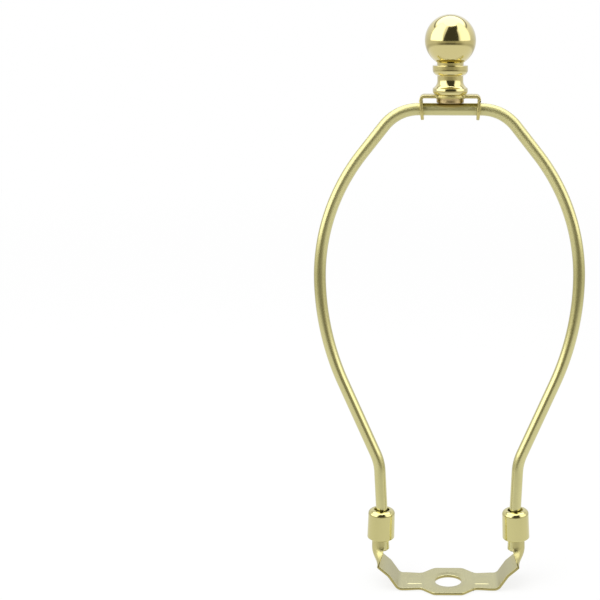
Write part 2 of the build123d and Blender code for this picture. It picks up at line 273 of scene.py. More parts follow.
class Nodes:
    """A small helper that adds nodes to a tree and links them."""

    def __init__(self, tree):
        self.tree = tree

    def add(self, kind, settings=None, **inputs):
        """A node with its settings, and its inputs by their names with spaces written as underscores."""
        node = self.tree.nodes.new(kind)
        for key, value in (settings or {}).items():
            setattr(node, key, value)
        for key, value in inputs.items():
            self.put(node.inputs[key.replace("_", " ")], value)
        return node

    def put(self, socket, value):
        """Links another node's output to the socket, or sets the socket's own value."""
        if isinstance(value, bpy.types.NodeSocket):
            self.tree.links.new(value, socket)
        else:
            socket.default_value = value

    def math(self, operation, first, second=None, clamp=False):
        node = self.tree.nodes.new("ShaderNodeMath")
        node.operation = operation
        node.use_clamp = clamp
        self.put(node.inputs[0], first)
        if second is not None:
            self.put(node.inputs[1], second)
        return node.outputs[0]

    def step(self, value, start, end):
        """0 before start and 1 after end, eased between them."""
        node = self.tree.nodes.new("ShaderNodeMapRange")
        node.interpolation_type = "SMOOTHSTEP"
        self.put(node.inputs["Value"], value)
        self.put(node.inputs["From Min"], start)
        self.put(node.inputs["From Max"], end)
        return node.outputs["Result"]

    def window(self, value, low, high, soft):
        """1 between low and high, with soft edges."""
        rise = self.step(value, low - soft, low + soft)
        fall = self.step(value, high - soft, high + soft)
        return self.math("MULTIPLY", rise, self.math("SUBTRACT", 1.0, fall))

    def blend(self, level, mask, value):
        """The level with value in place of it where the mask is 1."""
        return self.math("ADD", level, self.math("MULTIPLY", mask, self.math("SUBTRACT", value, level)))

    def mix(self, factor, first, second):
        """A colour between two."""
        node = self.tree.nodes.new("ShaderNodeMix")
        node.data_type = "RGBA"
        self.put(node.inputs[0], factor)
        self.put(node.inputs[6], first)
        self.put(node.inputs[7], second)
        return node.outputs[2]


def solid(values):
    """The colour with full alpha."""
    return (*values, 1.0)


def polish_group():
    """Tone, roughness and fine height of buffed and plated brass, shared by all its finishes."""
    name = "Buffed Brass"
    if name in bpy.data.node_groups:
        return bpy.data.node_groups[name]
    tree = bpy.data.node_groups.new(name, "ShaderNodeTree")
    face = tree.interface
    for title, kind, value in (
        ("Tone", "NodeSocketColor", (0.6, 0.55, 0.24, 1)),
        ("Deep Tone", "NodeSocketColor", (0.4, 0.33, 0.1, 1)),
        ("Tone Shift", "NodeSocketFloat", 0.12),
        ("Roughness", "NodeSocketFloat", 0.1),
        ("Roughness Spread", "NodeSocketFloat", 0.04),
        ("Line Direction", "NodeSocketVector", (1.0, 1.0, 1.0)),
        ("Line Scale", "NodeSocketFloat", 1.0),
    ):
        made = face.new_socket(name=title, in_out="INPUT", socket_type=kind)
        made.default_value = value
    for title, kind in (
        ("Colour", "NodeSocketColor"),
        ("Roughness", "NodeSocketFloat"),
        ("Height", "NodeSocketFloat"),
    ):
        face.new_socket(name=title, in_out="OUTPUT", socket_type=kind)
    cloud_scale, haze_scale, line_scale = 55.0, 160.0, 900.0
    n = Nodes(tree)
    given = tree.nodes.new("NodeGroupInput").outputs
    place = n.add("ShaderNodeTexCoord").outputs["Object"]
    cloud = n.add("ShaderNodeTexNoise", Vector=place, Scale=cloud_scale, Detail=3.0, Roughness=0.55)
    stretched = n.add("ShaderNodeVectorMath", {"operation": "MULTIPLY"})
    n.put(stretched.inputs[0], place)
    n.put(stretched.inputs[1], given["Line Direction"])
    lines = n.add("ShaderNodeTexNoise", Vector=stretched.outputs[0], Detail=4.0, Roughness=0.7)
    n.put(lines.inputs["Scale"], n.math("MULTIPLY", given["Line Scale"], line_scale))
    haze = n.add("ShaderNodeTexNoise", Vector=place, Scale=haze_scale, Detail=5.0, Roughness=0.6)
    deepened = n.math("MULTIPLY", given["Tone Shift"], n.step(cloud.outputs["Fac"], 0.35, 0.75))
    toned = n.mix(deepened, given["Tone"], given["Deep Tone"])

    def both(first, first_share, second, second_share):
        """Two patterns added by their shares."""
        return n.math("ADD", n.math("MULTIPLY", first, first_share), n.math("MULTIPLY", second, second_share))

    # Both shares add up to 2, so that the unevenness lies round 0
    uneven = n.math("SUBTRACT", both(haze.outputs["Fac"], 1.2, lines.outputs["Fac"], 0.8), 1.0)
    spread = n.math("MULTIPLY", uneven, given["Roughness Spread"])
    ends = tree.nodes.new("NodeGroupOutput").inputs
    n.put(ends["Colour"], toned)
    n.put(ends["Roughness"], n.math("ADD", given["Roughness"], spread, clamp=True))
    n.put(ends["Height"], both(lines.outputs["Fac"], 0.6, cloud.outputs["Fac"], 0.4))
    return tree


def brass(
    name, tone, roughness, spread, bump, lines=(1.0, 1.0, 1.0), line_scale=1.0, shift=0.12, coat=0.0,
    edge_tone=None, edge_roughness=None, upper_tone=None, upper_roughness=None, upper_range=None,
):
    """A finished brass: the shared group gives tone, roughness and height.

    bump is in millimetres. edge_tone and edge_roughness are those of the cut edges. upper_tone and
    upper_roughness take over upwards, between the two heights of upper_range.
    """
    if name in bpy.data.materials:
        return bpy.data.materials[name]
    made = bpy.data.materials.new(name)
    made.use_nodes = True
    n = Nodes(made.node_tree)
    shader = made.node_tree.nodes["Principled BSDF"]
    shader.inputs["Metallic"].default_value = 1.0
    shader.inputs["Coat Weight"].default_value = coat
    shader.inputs["Coat Roughness"].default_value = 0.08
    group = made.node_tree.nodes.new("ShaderNodeGroup")
    group.node_tree = polish_group()
    if upper_range:
        place = n.add("ShaderNodeSeparateXYZ", Vector=n.add("ShaderNodeTexCoord").outputs["Object"])
        raised = n.step(place.outputs["Z"], *upper_range)
        roughness = n.math("ADD", roughness, n.math("MULTIPLY", raised, upper_roughness - roughness))
    for title, value in (
        ("Tone", solid(tone)),
        ("Deep Tone", solid(bpy.context.scene.harp_finish.shade)),
        ("Tone Shift", shift),
        ("Roughness", roughness),
        ("Roughness Spread", spread),
        ("Line Direction", lines),
        ("Line Scale", line_scale),
    ):
        n.put(group.inputs[title], value)
    toned, rough = group.outputs["Colour"], group.outputs["Roughness"]
    # Upwards the tone turns to upper_tone; on the saddle's sockets that warmer tone is a painted reflection
    if upper_range:
        toned = n.mix(raised, toned, solid(upper_tone))
    # On the saddle the cut edges' tone is partly painted shade
    if edge_tone:
        cut = n.add("ShaderNodeAttribute", {"attribute_name": "cut_edge"}).outputs["Fac"]
        toned = n.mix(cut, toned, solid(edge_tone))
        if edge_roughness:
            rough = n.blend(rough, cut, edge_roughness)
    relief = n.add("ShaderNodeBump", Strength=1.0, Distance=bump * MM, Height=group.outputs["Height"])
    n.put(shader.inputs["Base Color"], toned)
    n.put(shader.inputs["Roughness"], rough)
    n.put(shader.inputs["Normal"], relief.outputs["Normal"])
    return made


# Mesh tools

def arc_points(centre, radius, start, end, steps):
    """Points on an arc, both ends included; angles in radians."""
    return [
        (
            centre[0] + radius * math.cos(start + (end - start) * i / steps),
            centre[1] + radius * math.sin(start + (end - start) * i / steps),
        )
        for i in range(steps + 1)
    ]


def bowed(first, last, bow, steps):
    """Points of an arc between two points that bulges by bow to the right of its run."""
    a, b = Vector(first), Vector(last)
    run = b - a
    half = run.length / 2
    sign = 1 if bow > 0 else -1
    radius = (half * half + bow * bow) / (2 * abs(bow))
    side = Vector((run.y, -run.x)).normalized() * sign
    centre = (a + b) / 2 - side * (radius - abs(bow))
    begin = math.atan2(a.y - centre.y, a.x - centre.x)
    sweep = 2 * math.asin(min(1.0, half / radius)) * sign
    return arc_points(centre, radius, begin, begin + sweep, steps)


def softened(points, radius, closed=False, steps=5, limit=18.0, own_radii=None):
    """The outline with each corner sharper than limit, in degrees, replaced by an arc.

    own_radii gives single corners a radius of their own, by their place in points. Each arc has a support
    point close by on both sides, which keeps the flat stretches flat where the mesh is shaded smooth.
    """
    shared_run, own_run = 0.46, 0.96
    support_share, longest_support = 0.35, 0.06 * MM
    own_radii = own_radii or {}
    made = []
    total = len(points)
    for i, here in enumerate(points):
        if not closed and i in (0, total - 1):
            made.append(tuple(here))
            continue
        p, q, r = Vector(points[i - 1]), Vector(here), Vector(points[(i + 1) % total])
        into, out = q - p, r - q
        if into.length < 1e-9 or out.length < 1e-9:
            continue
        angle = into.angle(out)
        if angle < math.radians(limit):
            made.append(tuple(here))
            continue
        wanted = own_radii.get(i, radius)
        part = own_run if i in own_radii else shared_run
        tangent = min(wanted * math.tan(angle / 2), part * into.length, part * out.length)
        bend = tangent / math.tan(angle / 2)
        begin = q - into.normalized() * tangent
        sign = 1 if into.cross(out) > 0 else -1
        normal = Vector((-into.y, into.x)).normalized() * sign
        centre = begin + normal * bend
        support = min(support_share * tangent, longest_support)
        made.append(tuple(begin - into.normalized() * support))
        start = math.atan2(begin.y - centre.y, begin.x - centre.x)
        per_quarter = 6 + 6 * (bend / MM) ** 0.5
        pieces = max(steps, int(math.degrees(angle) / 90 * per_quarter))
        made += arc_points(centre, bend, start, start + angle * sign, pieces)
        end = q + out.normalized() * tangent
        made.append(tuple(end + out.normalized() * support))
    return made


def new_object(name, data):
    """An object in the scene that shows the given mesh, curve, light or camera."""
    obj = bpy.data.objects.new(name, data)
    bpy.context.scene.collection.objects.link(obj)
    return obj


def plain_mesh(obj, name):
    """The evaluated object as a plain mesh, its doubles merged and its normals turned outwards."""
    scene_state = bpy.context.evaluated_depsgraph_get()
    mesh = bpy.data.meshes.new_from_object(obj.evaluated_get(scene_state), depsgraph=scene_state)
    work = bmesh.new()
    work.from_mesh(mesh)
    bmesh.ops.remove_doubles(work, verts=work.verts, dist=2e-7)
    bmesh.ops.recalc_face_normals(work, faces=work.faces)
    for face in work.faces:
        face.smooth = True
    work.to_mesh(mesh)
    work.free()
    mesh.name = name
    return mesh


def finished(obj, name, body, node, material):
    """Bakes the object's modifiers, puts the piece on its body and lets it stand for its node."""
    mesh = plain_mesh(obj, name)
    obj.modifiers.clear()
    if obj.type != "MESH":
        path = obj
        obj = new_object(name, mesh)
        bpy.data.objects.remove(path)
    obj.data = mesh
    obj.name = name
    mesh.materials.clear()
    mesh.materials.append(material)
    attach(obj, body)
    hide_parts(node)


# Geometry trees

def tree_with(name, inputs):
    """An empty geometry tree with a geometry input, named inputs and a geometry output."""
    tree = bpy.data.node_groups.new(name, "GeometryNodeTree")
    tree.interface.new_socket(name="Geometry", in_out="INPUT", socket_type="NodeSocketGeometry")
    for title, kind, value in inputs:
        made = tree.interface.new_socket(name=title, in_out="INPUT", socket_type=kind)
        if value is not None:
            made.default_value = value
    tree.interface.new_socket(name="Geometry", in_out="OUTPUT", socket_type="NodeSocketGeometry")
    return tree


def use_tree(obj, tree, **values):
    """Adds the tree to an object, and sets its inputs by the sockets' identifiers."""
    live = obj.modifiers.new(tree.name, "NODES")
    live.node_group = tree
    for item in tree.interface.items_tree:
        if item.item_type == "SOCKET" and item.in_out == "INPUT":
            key = item.name.replace(" ", "_").lower()
            if key in values:
                live[item.identifier] = values[key]


class Geometry(Nodes):
    """The same helper for a geometry tree, with the tree's own input and output."""

    def __init__(self, tree):
        super().__init__(tree)
        self.given = tree.nodes.new("NodeGroupInput").outputs
        self.end = tree.nodes.new("NodeGroupOutput").inputs

    def store(self, geometry, name, value, kind="FLOAT", domain="POINT"):
        """The geometry with the value kept as a named attribute."""
        kept = self.add(
            "GeometryNodeStoreNamedAttribute", {"data_type": kind, "domain": domain},
            Geometry=geometry, Name=name, Value=value,
        )
        return kept.outputs[0]

    def stored(self, name):
        """A named number that was kept before."""
        return self.add("GeometryNodeInputNamedAttribute", {"data_type": "FLOAT"}, Name=name).outputs[0]

    def finish(self, geometry):
        """Realizes the result, gives it the material and sends it out."""
        real = self.add("GeometryNodeRealizeInstances", Geometry=geometry).outputs[0]
        dressed = self.add("GeometryNodeSetMaterial", Geometry=real, Material=self.given["Material"])
        self.put(self.end["Geometry"], dressed.outputs[0])


def wire_tree():
    """A round wire along the given path, with its length and its turn kept as its texture's place."""
    name = "Wire Along Path"
    if name in bpy.data.node_groups:
        return bpy.data.node_groups[name]
    tree = tree_with(name, (
        ("Wire Radius", "NodeSocketFloat", 2.38 * MM),
        ("Sides", "NodeSocketInt", 48),
        ("Material", "NodeSocketMaterial", None),
    ))
    g = Geometry(tree)
    along = g.add("GeometryNodeSplineParameter").outputs["Length"]
    path = g.store(g.given["Geometry"], "wire_length", along)
    sides, radius = g.given["Sides"], g.given["Wire Radius"]
    circle = g.add("GeometryNodeCurvePrimitiveCircle", Resolution=sides, Radius=radius)
    around = g.add("GeometryNodeSplineParameter").outputs["Factor"]
    ring = g.store(circle.outputs["Curve"], "wire_turn", around)
    tube = g.add("GeometryNodeCurveToMesh", Curve=path, Profile_Curve=ring, Fill_Caps=True)
    g.put(tube.inputs["Scale"], g.add("GeometryNodeInputRadius").outputs[0])
    spot = g.add("ShaderNodeCombineXYZ", X=g.stored("wire_length"), Y=g.stored("wire_turn")).outputs[0]
    g.finish(g.store(tube.outputs[0], "wire_uv", spot, kind="FLOAT2", domain="CORNER"))
    return tree


def turned_tree():
    """Turns a chain of profile points, given in x and z, about the z axis."""
    name = "Turn Profile"
    if name in bpy.data.node_groups:
        return bpy.data.node_groups[name]
    tree = tree_with(name, (("Sides", "NodeSocketInt", 96), ("Material", "NodeSocketMaterial", None)))
    g = Geometry(tree)
    profile = g.given["Geometry"]
    size = g.add("GeometryNodeAttributeDomainSize", {"component": "MESH"}, Geometry=profile)
    columns = g.math("ADD", g.given["Sides"], 1.0)
    sheet = g.add("GeometryNodeMeshGrid", Vertices_X=size.outputs["Point Count"], Vertices_Y=columns)
    index = g.add("GeometryNodeInputIndex").outputs[0]
    row = g.math("FLOOR", g.math("DIVIDE", g.math("ADD", index, 0.5), columns))
    column = g.math("SUBTRACT", index, g.math("MULTIPLY", row, columns))
    picked = g.add(
        "GeometryNodeSampleIndex", {"data_type": "FLOAT_VECTOR", "domain": "POINT"},
        Geometry=profile, Value=g.add("GeometryNodeInputPosition").outputs[0], Index=row,
    )
    split = g.add("ShaderNodeSeparateXYZ", Vector=picked.outputs[0]).outputs
    angle = g.math("MULTIPLY", g.math("DIVIDE", column, g.given["Sides"]), math.tau)
    x = g.math("MULTIPLY", split["X"], g.math("COSINE", angle))
    y = g.math("MULTIPLY", split["X"], g.math("SINE", angle))
    placed = g.add("ShaderNodeCombineXYZ", X=x, Y=y, Z=split["Z"]).outputs[0]
    moved = g.add("GeometryNodeSetPosition", Geometry=sheet.outputs["Mesh"], Position=placed).outputs[0]
    g.finish(g.add("GeometryNodeMergeByDistance", Geometry=moved, Distance=5e-7).outputs[0])
    return tree


def thread_tree():
    """Cuts a helical thread into the faces that stand at the given radius."""
    name = "Cut Thread"
    if name in bpy.data.node_groups:
        return bpy.data.node_groups[name]
    tree = tree_with(name, (
        ("Pitch", "NodeSocketFloat", 0.941 * MM),
        ("Depth", "NodeSocketFloat", 0.5 * MM),
        ("Start", "NodeSocketFloat", 0.0),
        ("End", "NodeSocketFloat", 0.01),
        ("Radius", "NodeSocketFloat", 3.175 * MM),
        ("Material", "NodeSocketMaterial", None),
    ))
    # Shares of the radius between which a point belongs to the thread
    innermost, outermost = 0.72, 1.01
    g = Geometry(tree)
    given = g.given
    place = g.add("GeometryNodeInputPosition").outputs[0]
    xyz = g.add("ShaderNodeSeparateXYZ", Vector=place).outputs
    angle = g.math("DIVIDE", g.math("ARCTAN2", xyz["Y"], xyz["X"]), math.tau)
    turns = g.math("SUBTRACT", g.math("DIVIDE", xyz["Z"], given["Pitch"]), angle)
    wave = g.math("MULTIPLY", g.math("PINGPONG", turns, 0.5), 2.0)
    run_in = g.math("DIVIDE", g.math("SUBTRACT", xyz["Z"], given["Start"]), given["Pitch"], clamp=True)
    squares = [g.math("MULTIPLY", xyz[axis], xyz[axis]) for axis in ("X", "Y")]
    near = g.math("SQRT", g.math("ADD", *squares))
    outside = g.math("GREATER_THAN", near, g.math("MULTIPLY", given["Radius"], innermost))
    inside = g.math("LESS_THAN", near, g.math("MULTIPLY", given["Radius"], outermost))
    above = g.math("GREATER_THAN", xyz["Z"], given["Start"])
    below = g.math("LESS_THAN", xyz["Z"], given["End"])
    chosen = g.math("MULTIPLY", g.math("MULTIPLY", outside, inside), g.math("MULTIPLY", above, below))
    depth = g.math("MULTIPLY", g.math("MULTIPLY", wave, run_in), given["Depth"])
    cut = g.math("MINIMUM", g.math("SUBTRACT", given["Radius"], depth), near)
    ratio = g.math("DIVIDE", cut, g.math("MAXIMUM", near, 1e-6))
    x, y = [g.math("MULTIPLY", xyz[axis], ratio) for axis in ("X", "Y")]
    spot = g.add("ShaderNodeCombineXYZ", X=x, Y=y, Z=xyz["Z"]).outputs[0]
    moved = g.add("GeometryNodeSetPosition", Geometry=given["Geometry"], Selection=chosen, Position=spot)
    g.finish(moved.outputs[0])
    return tree


def divided(points, longest):
    """The chain with its long runs cut into pieces no longer than longest."""
    made = [points[0]]
    for a, b in zip(points, points[1:]):
        parts = max(1, math.ceil(math.dist(a, b) / longest))
        for k in range(1, parts + 1):
            made.append((a[0] + (b[0] - a[0]) * k / parts, a[1] + (b[1] - a[1]) * k / parts))
    return made


def turned(name, points, sides, material):
    """A live turned object from its profile, a chain of points in x and z."""
    mesh = bpy.data.meshes.new(name)
    mesh.from_pydata([(x, 0, z) for x, z in points], [(i, i + 1) for i in range(len(points) - 1)], [])
    obj = new_object(name, mesh)
    use_tree(obj, turned_tree(), sides=sides, material=material)
    return obj


# Paths and sheets

class Path:
    """A line in the XZ plane with rounded corners, read by its length.

    step is the longest distance between its points, and marks holds the lengths at which its bends start
    and end.
    """

    def __init__(self, corners, radii, step):
        largest_turn, fewest_pieces = 6, 4
        self.points, self.lengths, self.turns, self.marks = [], [], [], []
        here = Vector(corners[0])
        total = 0.0
        for i in range(1, len(corners)):
            goal = Vector(corners[i])
            if i < len(corners) - 1:
                into = (goal - here).normalized()
                out = (Vector(corners[i + 1]) - goal).normalized()
                angle = math.atan2(into.cross(out), into.dot(out))
                setback = radii[i - 1] * math.tan(abs(angle) / 2)
                end = goal - into * setback
            else:
                into, angle, end = (goal - here).normalized(), 0.0, goal
            run = (end - here).length
            pieces = max(1, math.ceil(run / step))
            for k in range(pieces):
                self.put(here + into * (run * k / pieces), total + run * k / pieces, into)
            total += run
            self.marks.append(total)
            if angle:
                radius = radii[i - 1]
                side = Vector((-into.y, into.x)) * (1 if angle > 0 else -1)
                centre = end + side * radius
                by_angle = math.ceil(math.degrees(abs(angle)) / largest_turn)
                pieces = max(fewest_pieces, math.ceil(abs(angle) * radius / step), by_angle)
                for k in range(pieces):
                    part = angle * k / pieces
                    spun = Matrix.Rotation(part, 2)
                    self.put(centre - spun @ (side * radius), total + radius * abs(part), spun @ into)
                total += abs(angle) * radius
                self.marks.append(total)
                here = centre - Matrix.Rotation(angle, 2) @ (side * radius)
            else:
                self.put(end, total, into)

    def put(self, point, total, tangent):
        """Adds a point with its length along the path and its heading, unless it repeats the last one."""
        if self.points and total - self.lengths[-1] < 1e-3 * MM:
            return
        self.points.append(point.copy())
        self.lengths.append(total)
        self.turns.append(math.atan2(tangent.y, tangent.x))

    def at(self, total):
        """Point and heading at a length along the path, which goes straight on past its ends."""
        if total <= 0 or total >= self.lengths[-1]:
            end = 0 if total <= 0 else -1
            heading = self.turns[end]
            ahead = total - self.lengths[end]
            return self.points[end] + Vector((math.cos(heading), math.sin(heading))) * ahead, heading
        i = next(k for k in range(len(self.lengths) - 1) if self.lengths[k + 1] >= total)
        part = (total - self.lengths[i]) / (self.lengths[i + 1] - self.lengths[i])
        point = self.points[i].lerp(self.points[i + 1], part)
        return point, self.turns[i] + (self.turns[i + 1] - self.turns[i]) * part


class Sheet:
    """Faces of a flat blank, given by the length along it and the place across it."""

    def __init__(self):
        self.spots, self.faces, self.known = [], [], {}

    def spot(self, along, across):
        """The number of a spot, which is the same for two spots in one place."""
        key = (round(along * 1e7), round(across * 1e7))
        if key not in self.known:
            self.known[key] = len(self.spots)
            self.spots.append((along, across))
        return self.known[key]

    def grid(self, rows):
        """Faces between rows of spots that have equal counts."""
        for first, second in zip(rows, rows[1:]):
            for k in range(len(first) - 1):
                face = [self.spot(*spot) for spot in (first[k], second[k], second[k + 1], first[k + 1])]
                if len(set(face)) == 4:
                    self.faces.append(face)

    def rays(self, centre, ring, stops):
        """Faces from a round hole out to a closed ring of spots; stops gives a ray's radii from its reach."""
        rows = []
        for x, y in ring + ring[:1]:
            reach = math.hypot(x - centre, y)
            rows.append([(centre + (x - centre) / reach * stop, y / reach * stop) for stop in stops(reach)])
        self.grid(rows)

    def solid(self, name, place):
        """Both skins and the edges between them; place gives a spot's points below and above."""
        lower = len(self.spots)
        pairs = [place(*spot) for spot in self.spots]
        verts = [pair[0] for pair in pairs] + [pair[1] for pair in pairs]
        faces = [tuple(reversed(face)) for face in self.faces]
        faces += [tuple(k + lower for k in face) for face in self.faces]
        skins = len(faces)
        # A dict keeps the edges in the faces' order
        edges = dict.fromkeys(edge for face in self.faces for edge in zip(face, face[1:] + face[:1]))
        for a, b in edges:
            if (b, a) not in edges:
                faces.append((a, b, b + lower, a + lower))
        mesh = bpy.data.meshes.new(name)
        mesh.from_pydata([tuple(v) for v in verts], [], faces)
        cut = mesh.attributes.new("cut_edge", "FLOAT", "FACE")
        cut.data.foreach_set("value", [0.0 if k < skins else 1.0 for k in range(len(faces))])
        return new_object(name, mesh)


def round_edges(obj, width):
    """Rounds the edges between the skins and the cut edges."""
    bevel = obj.modifiers.new("Rounded edges", "BEVEL")
    bevel.width = width
    bevel.segments = 3
    bevel.limit_method = "ANGLE"
    bevel.angle_limit = math.radians(50.0)
    bevel.use_clamp_overlap = True
    bevel.miter_outer = "MITER_SHARP"


def both_ways(values):
    """Rows across a strip from the values of one half, the middle included once."""
    return [-v for v in reversed(values) if v > 0] + list(values)


def mirrored(rows):
    """The rows on the other side of the middle, in the order that keeps their faces upright."""
    return [[(-along, v) for along, v in reversed(row)] for row in rows]


def ring_of(quarter):
    """A closed ring of spots from its quarter, which runs from the x axis to the y axis."""
    half = quarter + [(-x, y) for x, y in reversed(quarter[:-1])]
    return half + [(x, -y) for x, y in reversed(half[1:-1])]


def off_path(point, heading, side, across, away):
    """A point at a place across a sheet and away from its middle; side is -1 on the mirrored half."""
    return Vector((side * (point.x - math.sin(heading) * away), across, point.y + math.cos(heading) * away))


def bent_wire_half(size):
    """The right half of the wire's centre line, from the middle of the top to the leg's end."""
    half = size.loop_width / 2
    top_half = size.top_straight / 2
    corner_x = top_half + size.shoulder_setback
    upper_tangent = size.upper_share * (size.top_height - size.widest_height)
    upper_z = size.widest_height + upper_tangent
    shoulder_angle = math.atan2(half - corner_x, size.top_height - upper_z)
    shoulder_radius = size.shoulder_setback / math.tan((math.pi / 2 - shoulder_angle) / 2)
    lean = math.tan(size.leg_lean)
    leg_x = size.leg_spacing / 2 + (size.leg_bend_height - size.spacing_height) * lean
    lower_tangent = size.lower_share * (size.widest_height - size.leg_bend_height)
    lower_z = size.widest_height - lower_tangent
    lower_angle = math.atan2(half - leg_x, lower_z - size.leg_bend_height)
    end_x = size.leg_spacing / 2 + (size.leg_end - size.spacing_height) * lean
    corners = [
        (0, size.top_height), (corner_x, size.top_height), (half, upper_z), (half, lower_z),
        (leg_x, size.leg_bend_height), (end_x, size.leg_end),
    ]
    upper_radius = upper_tangent / math.tan(shoulder_angle / 2)
    lower_radius = lower_tangent / math.tan(lower_angle / 2)
    radii = [shoulder_radius, upper_radius, lower_radius, size.leg_bend_radius]
    return Path(corners, radii, step=1.5 * MM)


# Operators

class HARP_OT_wire(bpy.types.Operator):
    """Bends the harp's wire loop"""

    bl_idname = "harp.wire"
    bl_label = "Harp wire"
    bl_options = {"REGISTER", "UNDO"}

    def execute(self, context):
        size = context.scene.harp_wire
        half = bent_wire_half(size)
        chain = [half.at(total)[0] for total in half.lengths]
        end = half.lengths[-1]
        chamfer, radius = size.end_chamfer, size.diameter / 2
        # The end's chamfer: shares of its size back along the wire and in from its surface
        tip = [
            (half.at(end - back * chamfer)[0], 1 - cut * chamfer / radius)
            for back, cut in ((0.0, 1.07), (0.03, 1.02), (0.95, 0.1), (1.0, 0.03), (1.1, 0.0))
        ]
        tip_reach = 1.0 * MM
        body = [(point, 1.0) for point, total in zip(chain, half.lengths) if total < end - tip_reach]
        right = body + list(reversed(tip))
        left = [(Vector((-point.x, point.y)), scale) for point, scale in reversed(right[1:])]
        line = left + right
        curve = bpy.data.curves.new("harp_wire_path", "CURVE")
        curve.dimensions = "3D"
        spline = curve.splines.new("POLY")
        spline.points.add(len(line) - 1)
        for point, (place, scale) in zip(spline.points, line):
            point.co = (place.x, 0, place.y, 1)
            point.radius = scale
        obj = new_object("harp_wire_path", curve)
        # The top of the loop is duller than the legs
        tone = context.scene.harp_finish.wire
        material = brass(
            "Plated wire", tone, roughness=0.17, spread=0.03, bump=0.004, shift=0.1, coat=0.5,
            upper_tone=tone, upper_roughness=0.46, upper_range=(135 * MM, 185 * MM),
        )
        n = Nodes(material.node_tree)
        shader = material.node_tree.nodes["Principled BSDF"]
        shader.inputs["Anisotropic"].default_value = 0.75
        along = n.add("ShaderNodeTangent", {"direction_type": "UV_MAP", "uv_map": "wire_uv"})
        n.put(shader.inputs["Tangent"], along.outputs[0])
        use_tree(obj, wire_tree(), wire_radius=size.diameter / 2, sides=size.sides, material=material)
        finished(obj, "harp_wire_dressed", "frame", "harp_wire", material)
        return {"FINISHED"}


